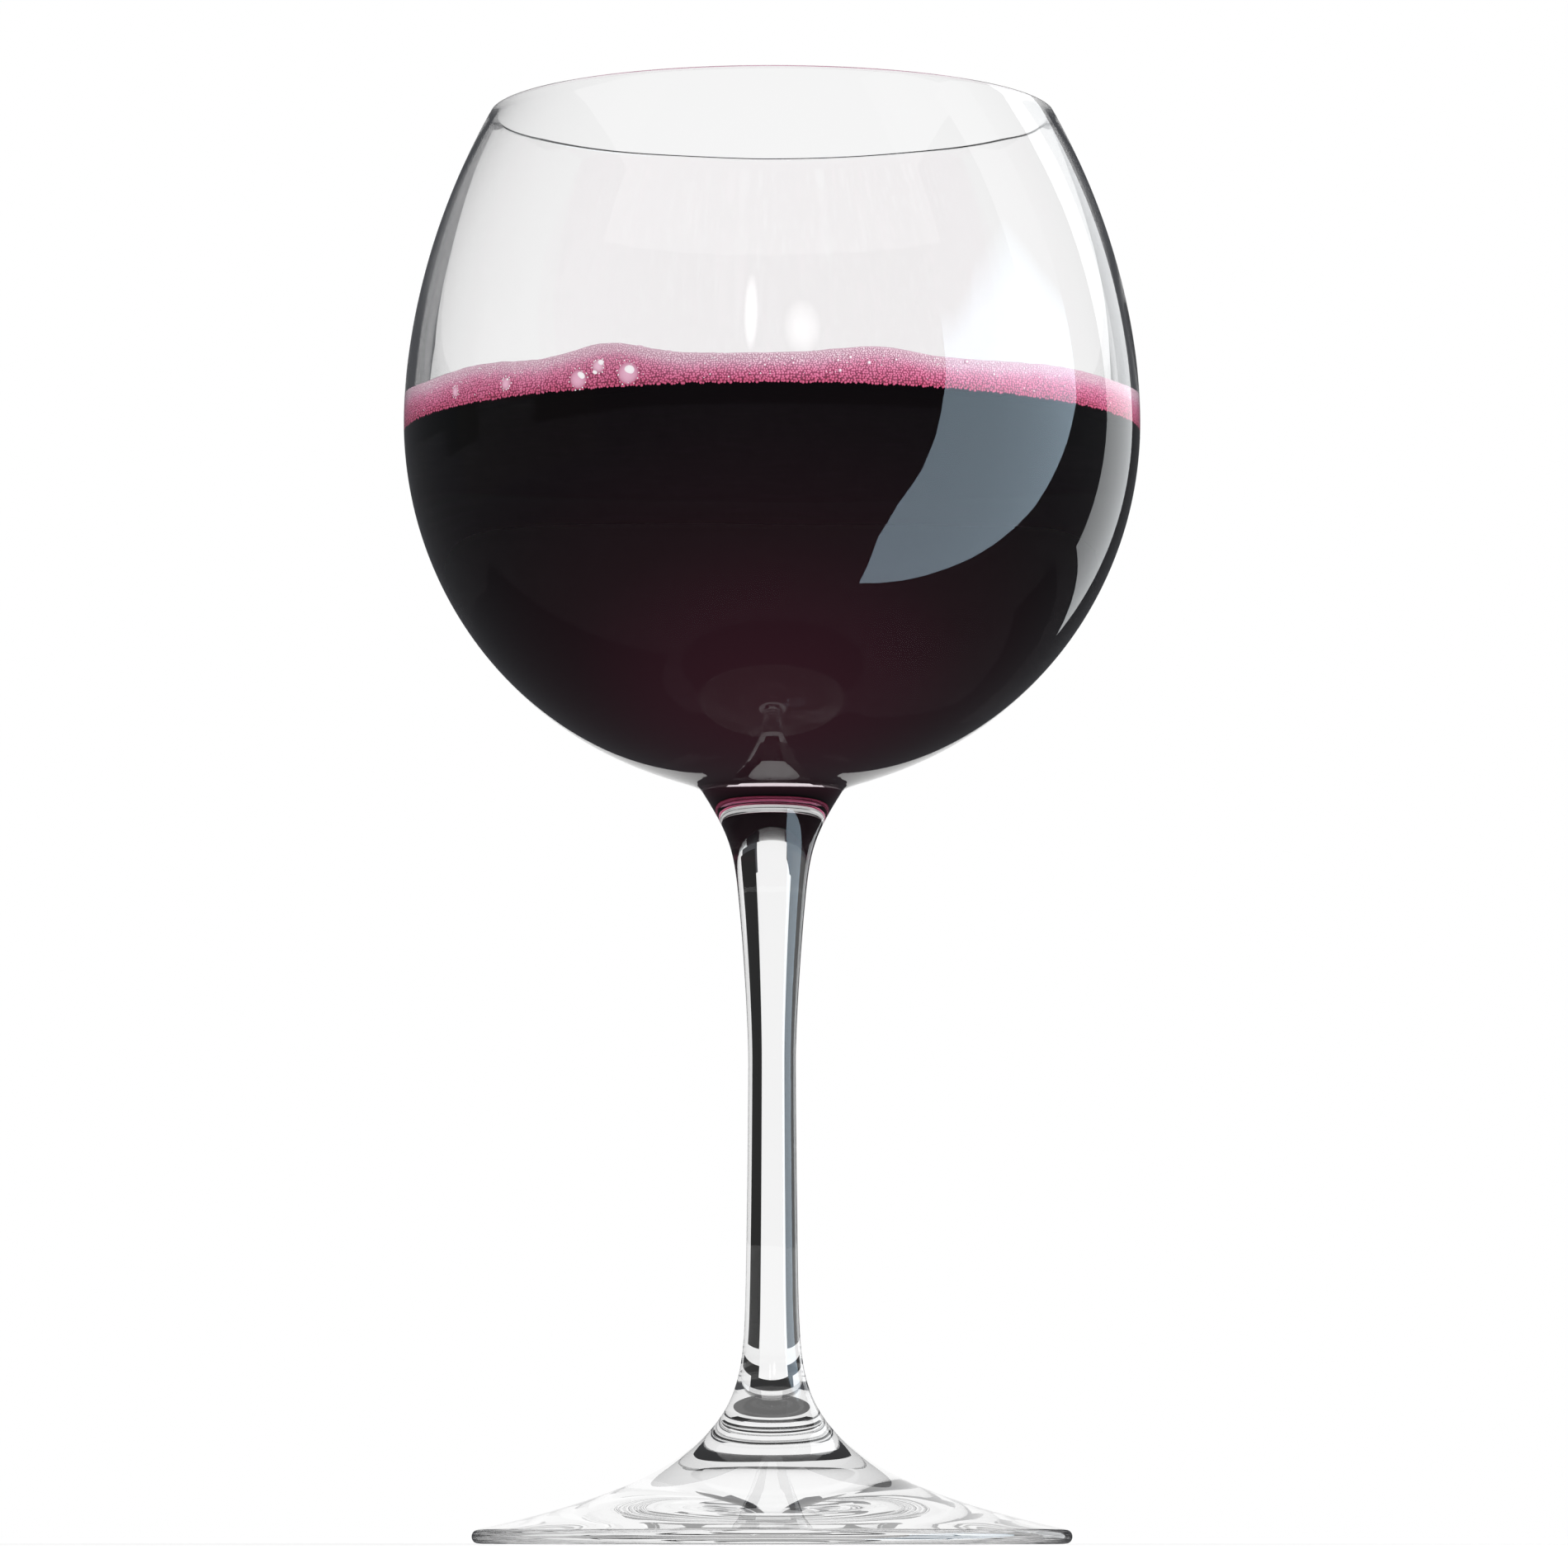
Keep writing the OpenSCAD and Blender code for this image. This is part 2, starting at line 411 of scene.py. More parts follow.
# %% Body of the froth, before its finish
FROTH_INTO_WALL = 0.03
FROTH_STEPS = 288
WALL_ROWS = 10
ON_TOP = 1.01
TOP_SHARES = (0.97, 0.94, 0.9, 0.85, 0.79, 0.72, 0.64, 0.55, 0.45, 0.34, 0.22, 0.11, 0)
froth_outline = [(0, -0.01), (0.5, -0.01), (0.8, -0.01), (1, -0.01)]
froth_outline += [(1, k / WALL_ROWS) for k in range(WALL_ROWS)]
froth_outline += [(0.9995, 0.97), (0.997, 1.0), (0.99, ON_TOP)]
froth_outline += [(share, ON_TOP) for share in TOP_SHARES]
bm = spin_outline(froth_outline, FROTH_STEPS)
for vert in bm.verts:
    turn = math.atan2(vert.co.y, vert.co.x)
    share = min(math.hypot(vert.co.x, vert.co.y), 1)
    top = froth_top(turn, share)
    if vert.co.z < 1:
        z = level_z + (top - level_z) * vert.co.z
    else:
        z = top + 0.12 * noise.noise(Vector((math.cos(turn) * 16, math.sin(turn) * 16, 4)))
        z += 0.1 * noise.noise(Vector((vert.co.x * 30, vert.co.y * 30, 9)))
    radius = share * (inside_radius(z) + FROTH_INTO_WALL)
    vert.co = Vector((radius * math.cos(turn), radius * math.sin(turn), z))
bmesh.ops.recalc_face_normals(bm, faces=bm.faces)
print("the froth's outline has", len(froth_outline), "points")

# %% [markdown]
# ### Colours of the froth
# Wine lies between the lowest bubbles, so they are crimson with dark gaps. Higher up the wine
# has drained, and the froth fades to pale pink. The body in the gaps is darker than the bubbles
# at every height: partly wine, partly painted shade in the crevices between bubbles. Each mesh
# carries two attributes for this: rise, its share of the froth's height, and rim, which is 1 at
# the foot of a bubble. Towards its foot each bubble is darkened by painted shade, so its middle
# looks lit.

# %% Material of the froth
PATCHINESS = 0.24


def froth_material(name, colours, outline, roughness=0.25):
    """Colours by height in the froth, in slow patches, and painted shade round the foot of each bubble."""
    material, tree, shader = new_material(name, Roughness=roughness, IOR=1.35)
    place = add_node(tree, "TexCoord")
    rise = add_node(tree, "Attribute", attribute_name="rise")
    rim = add_node(tree, "Attribute", attribute_name="rim")
    patches = add_node(tree, "TexNoise")
    patches.inputs["Scale"].default_value = 420
    patches.inputs["Detail"].default_value = 2
    shift = add_node(tree, "Math", operation="MULTIPLY_ADD")
    shift.inputs[1].default_value = PATCHINESS
    level = add_node(tree, "Math", operation="SUBTRACT")
    level.inputs[1].default_value = PATCHINESS / 2
    ramp = add_node(tree, "ValToRGB")
    while len(ramp.color_ramp.elements) < len(colours):
        ramp.color_ramp.elements.new(0.5)
    for element, (share, colour) in zip(ramp.color_ramp.elements, colours):
        element.position = share
        element.color = (*colour, 1)
    # Painted shade: where rim is 1, at the foot of each bubble, the colour is multiplied by outline.
    shade = add_node(tree, "Mix", data_type="RGBA", blend_type="MULTIPLY")
    shade.inputs[7].default_value = (*outline, 1)
    links = tree.links
    links.new(place.outputs["Object"], patches.inputs["Vector"])
    links.new(patches.outputs["Fac"], shift.inputs[0])
    links.new(rise.outputs["Fac"], shift.inputs[2])
    links.new(shift.outputs[0], level.inputs[0])
    links.new(level.outputs[0], ramp.inputs["Fac"])
    links.new(rim.outputs["Fac"], shade.inputs[0])
    links.new(ramp.outputs["Color"], shade.inputs[6])
    links.new(shade.outputs[2], shader.inputs["Base Color"])
    return material


def set_attribute(piece, name, values):
    layer = piece.data.attributes.new(name, "FLOAT", "POINT")
    layer.data.foreach_set("value", values)


PALE_DEPTH = 2.2
PALE_FROM = 0.49


def froth_rise(turn, z):
    """Share of the froth's height; the pale part is the top 2.2 mm, wherever the top is."""
    above = z - level_z
    pale_start = froth_edge(turn) - PALE_DEPTH
    if above > pale_start:
        return min(PALE_FROM + (1 - PALE_FROM) * (above - pale_start) / PALE_DEPTH, 1)
    return max(PALE_FROM * above / pale_start, 0)


BEADS = [(0, (0.62, 0.12, 0.235)), (0.2, (0.76, 0.22, 0.385)), (0.4, (0.84, 0.33, 0.5)),
         (0.56, (0.88, 0.48, 0.64)), (0.72, (0.89, 0.68, 0.77)), (1, (0.9, 0.8, 0.85))]
# The gaps between bubbles: partly wine, partly painted shade in the crevices.
GAP_WINE_AND_SHADE = [(0, (0.17, 0.018, 0.05)), (0.3, (0.34, 0.07, 0.15)),
        (0.7, (0.6, 0.33, 0.45)), (1, (0.64, 0.45, 0.53))]
# Painted shade at the foot of each bubble.
BUBBLE_FOOT_SHADE = (0.72, 0.4, 0.54)
print(len(BEADS), "colours for the bubbles and", len(GAP_WINE_AND_SHADE), "for the gaps")

# %% The froth's body
gaps = froth_material("froth gaps", GAP_WINE_AND_SHADE, BUBBLE_FOOT_SHADE, 0.45)
rises = [froth_rise(math.atan2(v.co.y, v.co.x), v.co.z) for v in bm.verts]
froth = finish_piece("froth_body", bm, gaps)
set_attribute(froth, "rise", rises)
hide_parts("froth")
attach(froth, "root")

# %% [markdown]
# ### Bubbles against the wall
# Seen through the glass, froth is a close packing of domes about half a millimetre wide,
# finer towards the top. One low dome is made with operators and copied into place some
# thousands of times, so it has only a few faces. The copies are joined into a few meshes.

# %% One dome, and a way to copy it
def dome_mesh(name, segments, rings, reach):
    """A cap of a ball of radius 1 with its pole along Z, cut off reach below the pole."""
    bm = bmesh.new()
    bmesh.ops.create_uvsphere(bm, u_segments=segments, v_segments=rings, radius=1)
    below = [v for v in bm.verts if v.co.z < 1 - reach]
    bmesh.ops.delete(bm, geom=below, context="VERTS")
    mesh = bpy.data.meshes.new(name)
    bm.to_mesh(mesh)
    bm.free()
    return mesh


def bubble_piece(name, mesh, places, material):
    """One joined piece of copies; places holds pairs of a matrix and a height share."""
    lowest = min(v.co.z for v in mesh.vertices)
    # rim is 1 at the foot of each dome, where the finish paints shade.
    rim = [(1 - v.co.z) / (1 - lowest) for v in mesh.vertices]
    bm = bmesh.new()
    for place, rise in places:
        mesh.transform(place)
        bm.from_mesh(mesh)
        mesh.transform(place.inverted())
    piece = finish_piece(name, bm, material)
    set_attribute(piece, "rim", rim * len(places))
    set_attribute(piece, "rise", [rise for _, rise in places for _ in rim])
    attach(piece, "root")
    return piece


dome = dome_mesh("dome", 6, 6, 0.55)
print("one dome has", len(dome.polygons), "faces")


# %% Places on the wall
MANY_TURNS = 977


def wall_place(turn, z, size, proud):
    """A dome of that radius on the wall, with its pole outwards and standing proud by that much."""
    slope = inside_radius(z + 0.5) - inside_radius(z - 0.5)
    out = Vector((math.cos(turn), math.sin(turn), -slope)).normalized()
    tip = Vector((inside_radius(z) * math.cos(turn), inside_radius(z) * math.sin(turn), z)) + out * proud
    turned = out.to_track_quat("Z", "Y").to_matrix().to_4x4()
    spun = Matrix.Rotation(turn * MANY_TURNS % 6.28, 4, "Z")
    return Matrix.Translation(tip - out * size) @ turned @ spun @ Matrix.Scale(size, 4)


print("the wall beside the froth has a radius of", round(inside_radius(level_z), 2), "mm")

# %% [markdown]
# The rows run round the wall, each one closer to the next than the row below, and every
# second row is shifted by half a bubble. Random shifts then break the pattern. The lowest row
# sways, which gives the froth its ragged lower edge.

# %% Places of the small bubbles
LOW_PITCH = 0.46
PITCH_DROP = 0.17
LOW_TO = 1.9
random.seed(7)
low_places = []
high_places = []
row = 0
z_row = -0.06
while z_row < 7:
    pitch = LOW_PITCH - PITCH_DROP * min(z_row / 5, 1)
    count = int(2 * math.pi * inside_radius(level_z + z_row) / pitch)
    for i in range(count):
        turn = 2 * math.pi * (i + row % 2 / 2 + random.uniform(-0.3, 0.3)) / count
        sway = 0.12 * noise.noise(Vector((math.cos(turn) * 30, math.sin(turn) * 30, 1)))
        z = z_row + random.uniform(-0.26, 0.26) * pitch + sway
        if z > froth_edge(turn) - 0.2:
            continue
        size = pitch * random.uniform(0.44, 0.66)
        place = wall_place(turn, level_z + z, size, 0.1 + size * 0.3)
        kept_in = low_places if z < LOW_TO else high_places
        kept_in.append((place, froth_rise(turn, level_z + z)))
    z_row += pitch * 0.85
    row += 1
print(len(low_places), "low and", len(high_places), "high bubbles on the wall")

# %% Bubbles on the wall
film = froth_material("bubbles", BEADS, BUBBLE_FOOT_SHADE, 0.22)
bubble_piece("froth_low_bubbles", dome, low_places, film)
bubble_piece("froth_high_bubbles", dome, high_places, film)

# %% [markdown]
# ### Bubbles on top
# From above, the raft is a mass of bubbles of many sizes with a few large ones. The same dome
# stands on the top surface, largest first, and none is put inside another large one.

# %% Bubbles on the top of the froth
TOP_SIZES = ((1.5, 26), (1.0, 90), (0.7, 320), (0.48, 1500), (0.36, 3600))
SMALL = 0.4
top_radius = inside_radius(level_z + 5)
top_places = []
large_spots = []
for size, count in TOP_SIZES:
    for i in range(count):
        share = math.sqrt(random.random()) * 0.985
        turn = random.uniform(0, 2 * math.pi)
        radius = share * top_radius
        spot = Vector((radius * math.cos(turn), radius * math.sin(turn), 0))
        if radius + size > top_radius - 0.4:
            continue
        if size > SMALL:
            if any((spot - other).length < reach + size * 0.6 for other, reach in large_spots):
                continue
            large_spots.append((spot, size * 0.9))
        own = size * random.uniform(0.85, 1.1)
        spot.z = froth_top(turn, share) - own * 0.45
        spin = Matrix.Rotation(random.uniform(0, 6), 4, "Z")
        place = Matrix.Translation(spot) @ spin @ Matrix.Scale(own, 4)
        top_places.append((place, random.uniform(0.55, 0.95)))
# Its third colour is the painted shade at the foot of each top bubble.
top_film = froth_material("top bubbles", BEADS, (0.78, 0.55, 0.66), 0.25)
bubble_piece("froth_top_bubbles", dome, top_places, top_film)

# %% [markdown]
# ### The few large bubbles
# Some bubbles against the wall are two or three millimetres wide and pressed flat by the
# glass. Each has a painted highlight on it, a white patch where light comes through from
# above, and a ring of small bright bubbles round it, which are painted sparkles. More painted
# sparkles, white dots, are strewn near the froth's top edge.

# %% A dome pressed flat against the wall
def flat_place(turn, z, wide, tall, lean, thick, proud):
    """Half sizes along and up the wall, turned by lean degrees, and how thick the dome is."""
    middle = wall_place(turn, z, 1, proud)
    out = Vector(middle.col[2][:3]).normalized()
    tip = Vector(middle.col[3][:3]) + out
    across = Vector((-out.y, out.x, 0)).normalized()
    upright = out.cross(across)
    a = math.radians(lean)
    long_way = across * math.cos(a) + upright * math.sin(a)
    short_way = out.cross(long_way)
    place = Matrix((long_way * wide, short_way * tall, out * thick)).transposed().to_4x4()
    place.translation = tip - out * thick
    return place


round_dome = dome_mesh("round dome", 20, 16, 0.9)
inner_dome = dome_mesh("inner dome", 18, 16, 0.25)
print("the large domes have", len(round_dome.polygons), "and", len(inner_dome.polygons), "faces")

# %% Large bubbles on the wall
# each with its direction in degrees, its height above the wine and its radius
LARGE = [(212, 2.0, 0.9), (224.9, 1.8, 1.05), (239.1, 1.3, 1.5), (242.6, 3.0, 1.1),
         (247.6, 1.7, 1.75), (280, 3.1, 0.3), (281.9, 3.6, 0.36), (284.8, 2.9, 0.42),
         (280.3, 1.6, 0.34), (273.2, 2.6, 0.28), (268.9, 2.3, 0.26), (289.1, 3.5, 0.28),
         (301, 3.9, 0.36), (306, 2.4, 0.3), (95, 3.2, 1.1), (140, 2.1, 0.8)]
# the painted highlights, each with its direction, height, half width, half height and lean
PAINTED_HIGHLIGHTS = [(239.7, 1.8, 1.275, 0.825, -35), (242.1, 2.1, 0.75, 0.51, -25), (243.1, 3.5, 0.9, 0.72, -20),
         (247.9, 2.15, 1.47, 1.2, -15), (225.3, 2.4, 0.39, 0.3, 0), (95.3, 3.8, 0.75, 0.45, 0)]
HIGHLIGHT_PROUD = 0.46
large_places = []
highlight_places = []
for degrees, above, size in LARGE:
    turn = math.radians(degrees)
    thick = 0.5 if size > 0.6 else size
    place = flat_place(turn, level_z + above, size, size, 0, thick, 0.4)
    large_places.append((place, 0.3 + above / 12))
    # A small bubble gets a painted highlight, a white patch on its tip.
    if size < 0.6:
        highlight_places.append((wall_place(turn, level_z + above, size * 0.8, HIGHLIGHT_PROUD), 1))
for degrees, above, wide, tall, lean in PAINTED_HIGHLIGHTS:
    place = flat_place(math.radians(degrees), level_z + above, wide, tall, lean, 0.6, HIGHLIGHT_PROUD)
    highlight_places.append((place, 1))
LARGE_FILM = [(0, (0.62, 0.2, 0.34)), (0.4, (0.76, 0.42, 0.56)), (1, (0.85, 0.68, 0.77))]
# Its third colour is the painted shade at the foot of each large bubble.
large_film = froth_material("large bubbles", LARGE_FILM, (0.62, 0.3, 0.42), 0.1)
bubble_piece("froth_large_bubbles", round_dome, large_places, large_film)

# %% Painted highlights and painted sparkles, in white
RINGED = LARGE[:5]
RING_SPARKLES = 13
STREWN_SPARKLES = 900
# Painted sparkles: tiny white domes round the large bubbles and strewn over the froth.
sparkle_places = []
for degrees, above, size in RINGED:
    for k in range(RING_SPARKLES):
        a = 2 * math.pi * (k + random.uniform(-0.3, 0.3)) / RING_SPARKLES
        reach = size * random.uniform(0.85, 1.12)
        turn = math.radians(degrees) + reach * math.cos(a) / 55
        sparkle_size = random.uniform(0.09, 0.17)
        sparkle_places.append((wall_place(turn, level_z + above + reach * math.sin(a), sparkle_size, 0.36), 1))
for k in range(STREWN_SPARKLES):
    turn = random.uniform(0, 2 * math.pi)
    share = random.choice((random.uniform(0.55, 0.95), random.uniform(0.62, 0.9), random.uniform(0.1, 0.9)))
    sparkle_size = random.choice((0.07, 0.08, 0.09, 0.1, 0.13))
    sparkle_places.append((wall_place(turn, level_z + share * froth_edge(turn), sparkle_size, 0.27), 1))
# Painted highlight: plain white, the same from every side.
HIGHLIGHT_WHITE = [(0, (0.93, 0.9, 0.92)), (1, (0.95, 0.93, 0.94))]
painted_highlight_white = froth_material("white film", HIGHLIGHT_WHITE, (0.95, 0.85, 0.9), 0.12)
bubble_piece("froth_painted_highlights", inner_dome, highlight_places, painted_highlight_white)
bubble_piece("froth_painted_sparkles", dome, sparkle_places, painted_highlight_white)

# %% [markdown]
# ## The studio
# Clear glass is drawn by what surrounds it, and dark wine by what it mirrors. So the studio
# is a set of shining cards. Some are met only by light that has gone through glass, and the
# others only by light that glass has mirrored. The camera itself sees none of them.

# %% Cards
BOWL_MIDDLE = Vector((0, 0, 0.17))
LOW_Z = -0.09


def card(name, corners, strength, colour=(1, 1, 1), glossy=True, transmission=True):
    bm = bmesh.new()
    bm.faces.new([bm.verts.new(corner) for corner in corners])
    mesh = bpy.data.meshes.new(name)
    bm.to_mesh(mesh)
    bm.free()
    made = bpy.data.objects.new(name, mesh)
    bpy.context.scene.collection.objects.link(made)
    material = bpy.data.materials.new(name)
    material.use_nodes = True
    tree = material.node_tree
    tree.nodes.clear()
    light = tree.nodes.new("ShaderNodeEmission")
    light.inputs["Color"].default_value = (*colour, 1)
    light.inputs["Strength"].default_value = strength
    output = tree.nodes.new("ShaderNodeOutputMaterial")
    tree.links.new(light.outputs[0], output.inputs["Surface"])
    mesh.materials.append(material)
    made.visible_camera = False
    made.visible_shadow = False
    made.visible_diffuse = False
    made.visible_glossy = glossy
    made.visible_transmission = transmission
    return made


def towards(side, up, distance=1.2):
    """A point that way from the bowl: side in degrees from the viewer, to the right, and up."""
    a = math.radians(side)
    e = math.radians(up)
    way = Vector((math.sin(a) * math.cos(e), -math.cos(a) * math.cos(e), math.sin(e)))
    return way * distance + BOWL_MIDDLE


def window(name, sides, ups, strength, **seen):
    """A part of a ball round the bowl, between two directions and two heights in degrees."""
    (a, b), (low, high) = sides, ups
    count = 8
    rim = [towards(a + (b - a) * i / count, low) for i in range(count + 1)]
    rim += [towards(b + (a - b) * i / count, high) for i in range(count + 1)]
    return card(name, rim, strength, **seen)


def level_arc(name, start, end, near, far, strength):
    """A ring part just above the low floor, between two directions from straight behind."""
    rim = []
    for radius, turns in ((near, range(13)), (far, range(12, -1, -1))):
        for i in turns:
            turn = math.radians(start + (end - start) * i / 12)
            rim.append((radius * math.sin(turn), radius * math.cos(turn), LOW_Z + 0.0005))
    return card(name, rim, strength, glossy=False)


def standing_arc(name, start, end, radius, low, high, strength):
    """A bent wall of four cards round the stem, between two directions from straight behind."""
    for k in range(4):
        turns = [math.radians(start + (end - start) * i / 4) for i in (k, k + 1)]
        left, right = [(radius * math.sin(turn), radius * math.cos(turn)) for turn in turns]
        card(name, [(*left, low), (*right, low), (*right, high), (*left, high)], strength, glossy=False)


print("the cards stand round a point", BOWL_MIDDLE.z, "m up")

# %% [markdown]
# ### Seen through the glass
# Behind the bowl stands one large white card, and darkness beside it draws the black edges.
# Stem and foot are lenses that see all round, so they need a floor, a sky and side walls, and
# dark strips and flags between these for their black lines.

# %% Cards seen through the glass
BACK_Y = 0.37
LOW_FLOOR = 0.88
DARK = 0.03
back_outline = [(-0.135, LOW_Z), (0.105, LOW_Z), (0.105, 0.6), (-0.102, 0.6), (-0.102, 0.24), (-0.135, 0.2)]
card("back card", [(x, BACK_Y, z) for x, z in back_outline], 0.965, glossy=False)
for name, near, far in (("left sky", -0.135, -0.62), ("right sky", 0.105, 0.62)):
    corners = [(near, BACK_Y, 0.0), (far, BACK_Y, 0.0), (far, BACK_Y, 0.2), (near, BACK_Y, 0.2)]
    card(name, corners, 0.9, glossy=False)
for name, x in (("far left card", -0.9), ("far right card", 0.9)):
    card(name, [(x, -0.2, LOW_Z), (x, 0.2, LOW_Z), (x, 0.2, 0.3), (x, -0.2, 0.3)], 0.95, glossy=False)
window("right wall", (88, 138), (-8, 50), 1.0, glossy=False)
window("front sky", (-60, 60), (30, 80), 0.7, glossy=False)
card("ceiling", [(-1, -1, 1.2), (1, -1, 1.2), (1, 1, 1.2), (-1, 1, 1.2)], 0.8, glossy=False)
card("low floor", [(-6, -6, LOW_Z), (6, -6, LOW_Z), (6, 6, LOW_Z), (-6, 6, LOW_Z)], LOW_FLOOR, glossy=False)
level_arc("dark strip", -28, 28, 0.13, 0.37, DARK)
# Painted shadow: dim discs under the foot, seen only through the glass.
for middle in (0, 90, 180, 270):
    level_arc("dark disc", middle - 45, middle + 45, 0.001, 0.09, 0.15)
level_arc("dark strip behind", -60, 60, 0.37, 0.62, DARK)
standing_arc("left flag", -20, -106, 0.06, 0.024, 0.135, 0.1)
standing_arc("right flag", 16, 42, 0.06, 0.024, 0.135, 0.02)

# %% [markdown]
# ### Seen in reflection
# A tall soft box on the right lies on the wine as a pale blue-grey shape with a pointed lower
# end. It fades out upwards, so that it hardly veils the clear part of the bowl. A narrow strip
# further round gives the bowl its bright right edge.

# %% Cards seen in reflection
low_back = [(-0.072, -0.094), (0.072, -0.094), (0.1, 0.6), (-0.1, 0.6)]
card("low back card", [(x, BACK_Y, z) for x, z in low_back], 1.0, transmission=False)
window("right strip", (125, 150), (-14, 55), 1.7, colour=(0.95, 0.98, 1), transmission=False)
window("left card", (-112, -55), (-12, 55), 0.08, transmission=False)
SOFT_BOX = ((52, 60), (54, 10), (51, -8), (48, -18), (43, -28), (40, -38), (41, -52.5),
            (61, -47), (81, -34), (95, -17), (107, 7), (107, 60))
SOFT_BOX_STRENGTH = 4.28
soft_box = card("soft box", [towards(a, e) for a, e in SOFT_BOX], SOFT_BOX_STRENGTH, transmission=False)
tree = soft_box.data.materials[0].node_tree
place = add_node(tree, "TexCoord")
split = add_node(tree, "SeparateXYZ")
height = add_node(tree, "MapRange")
height.inputs["From Min"].default_value = 0.44
height.inputs["From Max"].default_value = 0.56
colours = add_node(tree, "ValToRGB")
colours.color_ramp.elements[0].color = (0.66, 0.843, 1, 1)
colours.color_ramp.elements[1].color = (0.06, 0.063, 0.065, 1)
tree.links.new(place.outputs["Object"], split.inputs[0])
tree.links.new(split.outputs["Z"], height.inputs["Value"])
tree.links.new(height.outputs["Result"], colours.inputs["Fac"])
tree.links.new(colours.outputs["Color"], tree.nodes["Emission"].inputs["Color"])
print("the soft box has", len(SOFT_BOX), "corners")

# %% [markdown]
# ### Floor and room
# The floor that is seen is matt and nearly white, with a painted shadow that makes it a little
# darker near the glass. The room is white for the eye and for matt things, and dark for
# whatever glass mirrors or lets through beyond the cards.

# %% Floor
pale_floor, tree, shader = new_material("pale floor", Roughness=1)
shader.inputs["Specular IOR Level"].default_value = 0
place = add_node(tree, "TexCoord")
length = add_node(tree, "VectorMath", operation="LENGTH")
ramp = add_node(tree, "ValToRGB")
ramp.color_ramp.elements.new(0.4)
# Painted shadow: the floor is darkest near the glass and fades to white a metre away.
FLOOR_TONES_WITH_PAINTED_SHADOW = ((0.08, 0.9), (0.4, 0.96), (1, 1))
for element, (distance, tone) in zip(ramp.color_ramp.elements, FLOOR_TONES_WITH_PAINTED_SHADOW):
    element.position = distance
    element.color = (tone, tone, tone, 1)
tree.links.new(place.outputs["Object"], length.inputs[0])
tree.links.new(length.outputs["Value"], ramp.inputs["Fac"])
tree.links.new(ramp.outputs["Color"], shader.inputs["Base Color"])
bm = bmesh.new()
bmesh.ops.create_grid(bm, x_segments=1, y_segments=1, size=6)
mesh = bpy.data.meshes.new("floor")
bm.to_mesh(mesh)
bm.free()
mesh.materials.append(pale_floor)
floor = bpy.data.objects.new("floor", mesh)
bpy.context.scene.collection.objects.link(floor)
floor.visible_glossy = False
floor.visible_transmission = False
print("the floor is", round(floor.dimensions.x), "m wide")

# %% Room
world = bpy.data.worlds.new("studio")
bpy.context.scene.world = world
world.use_nodes = True
tree = world.node_tree
room = tree.nodes["Background"]
room.inputs["Color"].default_value = (0.07, 0.072, 0.078, 1)
pale = add_node(tree, "Background")
pale.inputs["Color"].default_value = (1, 1, 1, 1)
ray = add_node(tree, "LightPath")
plain = add_node(tree, "Math", operation="MAXIMUM")
mix = add_node(tree, "MixShader")
tree.links.new(ray.outputs["Is Camera Ray"], plain.inputs[0])
tree.links.new(ray.outputs["Is Diffuse Ray"], plain.inputs[1])
tree.links.new(plain.outputs[0], mix.inputs[0])
tree.links.new(room.outputs[0], mix.inputs[1])
tree.links.new(pale.outputs[0], mix.inputs[2])
tree.links.new(mix.outputs[0], tree.nodes["World Output"].inputs["Surface"])
print("the room for glass is", [round(v, 3) for v in room.inputs["Color"].default_value[:3]])

# %% [markdown]
# ### Lamp and glints
# One large soft lamp stands at the right. Two small windows with soft edges shine in the
# front of the bowl, above the froth.

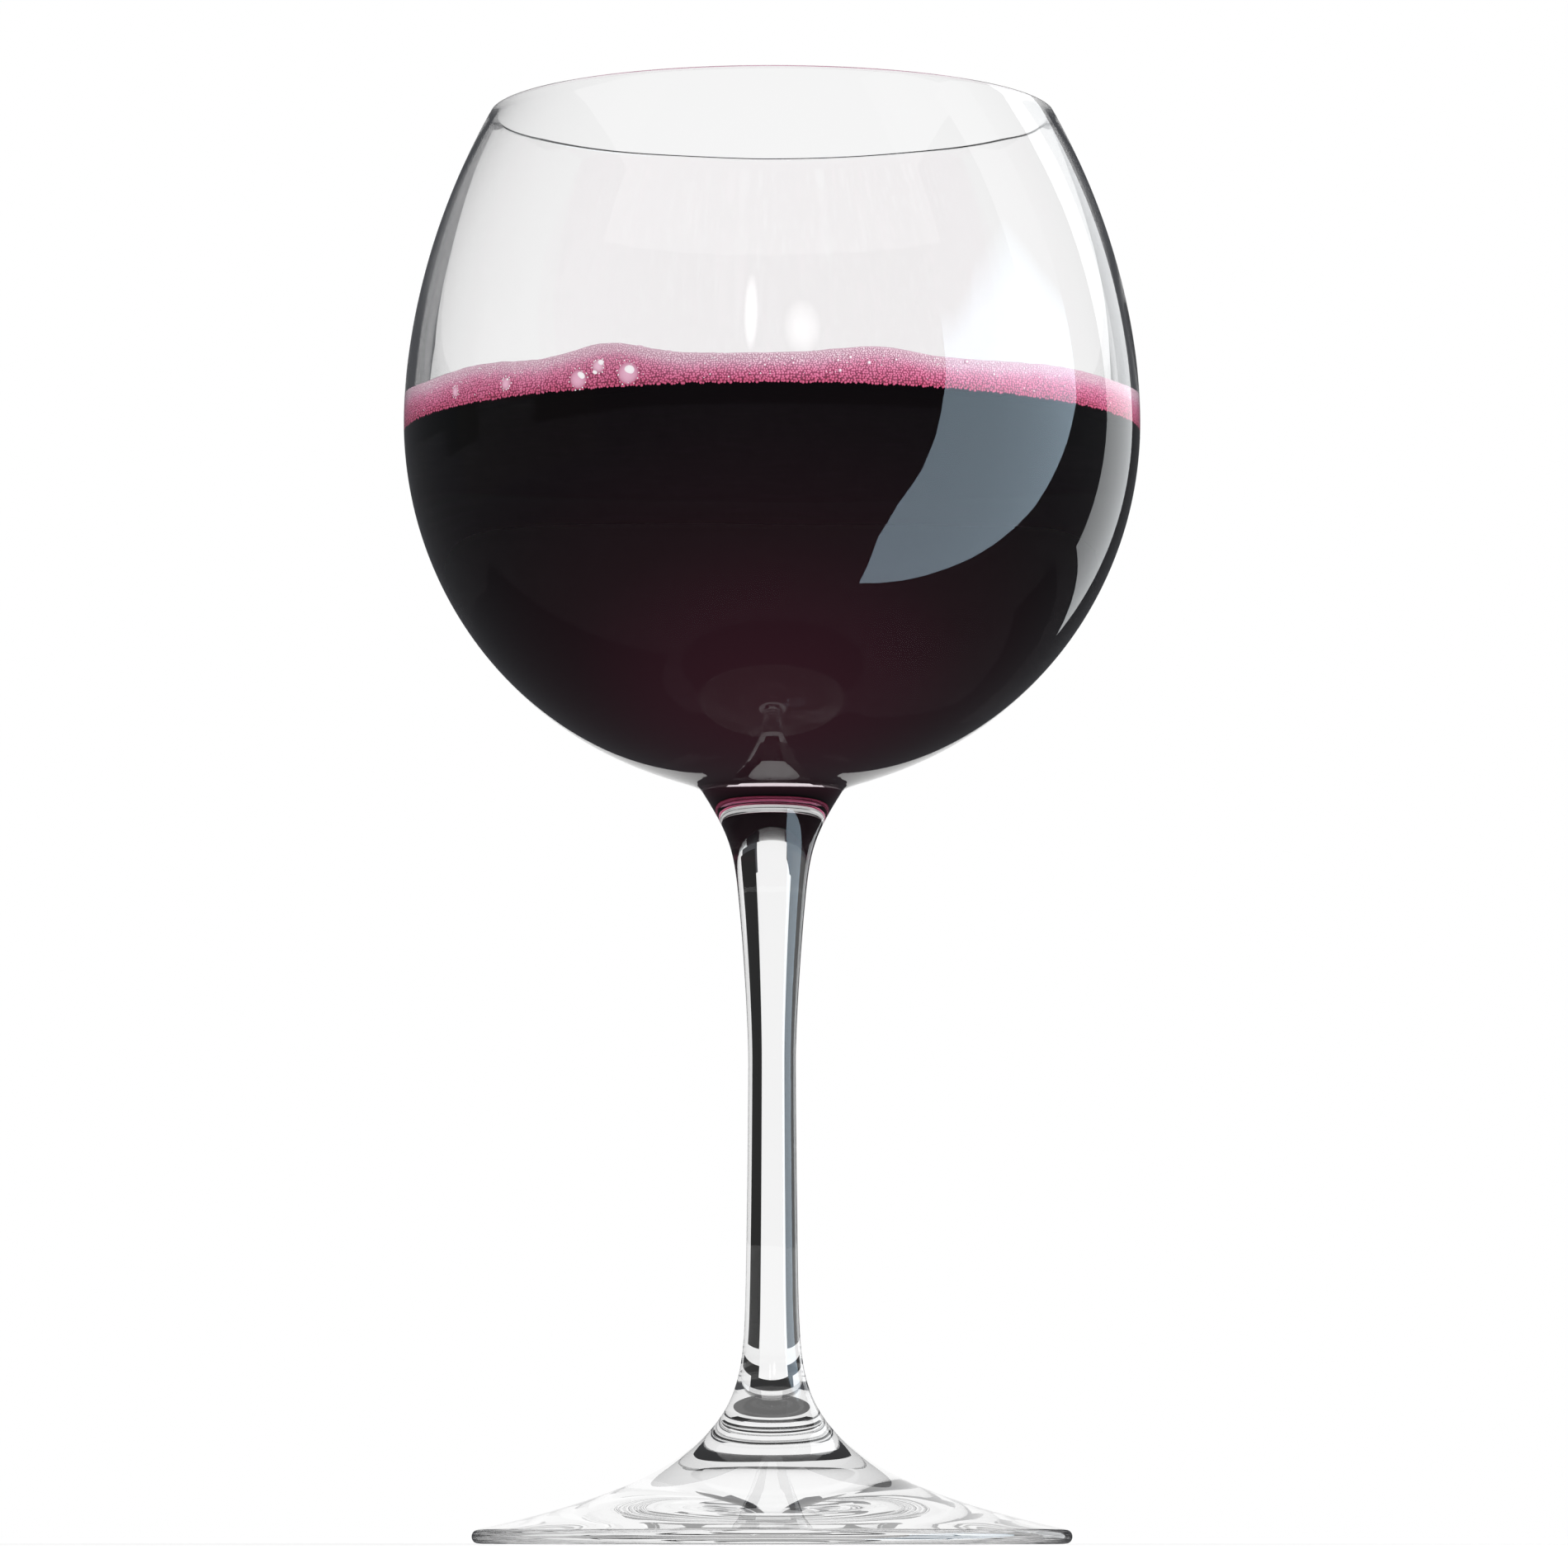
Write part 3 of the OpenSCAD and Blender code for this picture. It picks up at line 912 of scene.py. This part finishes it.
# %% Key lamp
key_data = bpy.data.lights.new("key", "AREA")
key_data.shape = "RECTANGLE"
key_data.size = 0.5
key_data.size_y = 0.9
key_data.energy = 8
key = bpy.data.objects.new("key", key_data)
bpy.context.scene.collection.objects.link(key)
key.location = towards(75, 15, 1.5)
key.rotation_euler = (BOWL_MIDDLE - key.location).to_track_quat("-Z", "Y").to_euler()
key.visible_camera = False
key.visible_transmission = False
print("the key lamp stands at", [round(v, 2) for v in key.location])

# %% Glints
def glint(name, side, up, width, height, strength):
    """A small bright window that fades to its edges, with half sizes in metres."""
    middle = towards(side, up)
    across = Vector((-middle.y, middle.x, 0)).normalized()
    upright = (middle - BOWL_MIDDLE).normalized().cross(across)
    signs = ((-1, -1), (1, -1), (1, 1), (-1, 1))
    corners = [middle + across * (width * a) + upright * (height * b) for a, b in signs]
    made = card(name, corners, strength, transmission=False)
    tree = made.data.materials[0].node_tree
    place = add_node(tree, "TexCoord")
    from_middle = add_node(tree, "VectorMath", operation="SUBTRACT")
    from_middle.inputs[1].default_value = middle
    tree.links.new(place.outputs["Object"], from_middle.inputs[0])
    total = add_node(tree, "Math", operation="ADD")
    for i, (axis, reach) in enumerate(((across, width), (upright, height))):
        along = add_node(tree, "VectorMath", operation="DOT_PRODUCT")
        along.inputs[1].default_value = axis / reach
        square = add_node(tree, "Math", operation="POWER")
        square.inputs[1].default_value = 2
        tree.links.new(from_middle.outputs[0], along.inputs[0])
        tree.links.new(along.outputs["Value"], square.inputs[0])
        tree.links.new(square.outputs[0], total.inputs[i])
    fade = add_node(tree, "MapRange")
    fade.inputs["From Min"].default_value = 1
    fade.inputs["From Max"].default_value = 0
    fade.inputs["To Max"].default_value = strength
    tree.links.new(total.outputs[0], fade.inputs["Value"])
    tree.links.new(fade.outputs["Result"], tree.nodes["Emission"].inputs["Strength"])
    print(name, "is", round(2 * width, 3), "m wide")


glint("glint left", -6.8, 20.5, 0.045, 0.16, 7)
glint("glint right", 9, 17.6, 0.12, 0.12, 4)

# %% [markdown]
# ### View
# Light crosses up to four walls of glass here and bounces about inside the stem, so it needs
# many bounces. The plain view transform keeps whites white.

# %% View and light paths
scene = bpy.context.scene
scene.view_settings.view_transform = "Standard"
scene.cycles.max_bounces = 24
scene.cycles.transmission_bounces = 24
scene.cycles.glossy_bounces = 12
scene.cycles.transparent_max_bounces = 12
print("light may bounce", scene.cycles.max_bounces, "times")
